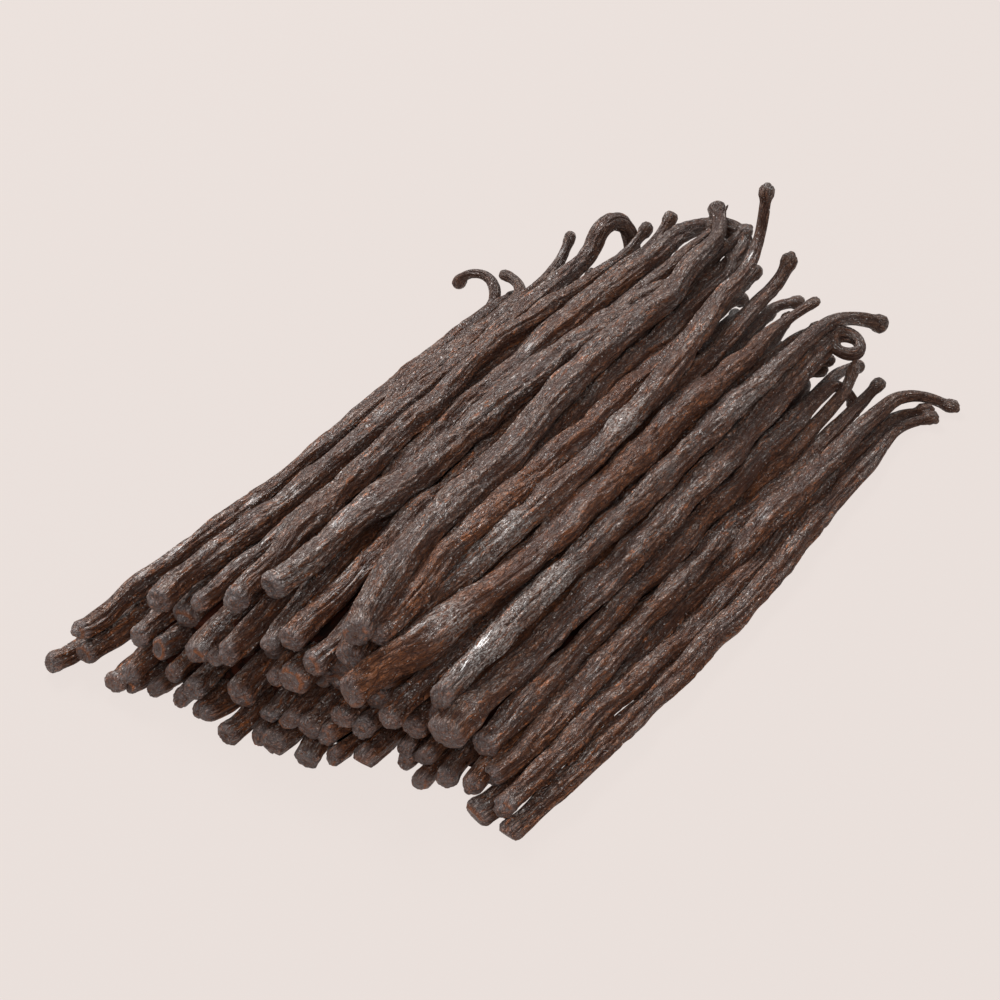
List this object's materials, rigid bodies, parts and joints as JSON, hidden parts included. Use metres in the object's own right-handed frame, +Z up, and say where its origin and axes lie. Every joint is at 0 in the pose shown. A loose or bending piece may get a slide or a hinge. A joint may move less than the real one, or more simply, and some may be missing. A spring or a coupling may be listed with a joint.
{
  "type": "bundle of vanilla pods",
  "caption": "Loose, low bundle of cured vanilla pods lying side by side, blunt ends at one end and curled, hooked stems at the other.",
  "frame": {"origin": "on the flat underside that the bundle rests on, under its middle", "axes": "+Y along the pods, from their blunt flower ends to their hooked stems; +Z up; +X across the bundle, towards its lower, gently sloping side"},
  "size_m": [0.1297, 0.1972, 0.0445],
  "materials": {
    "pod_skin": "satin, finely wrinkled"
  },
  "bodies": {
    "root": {"vanilla_bundle": "pod_skin"}
  },
  "joints": []
}
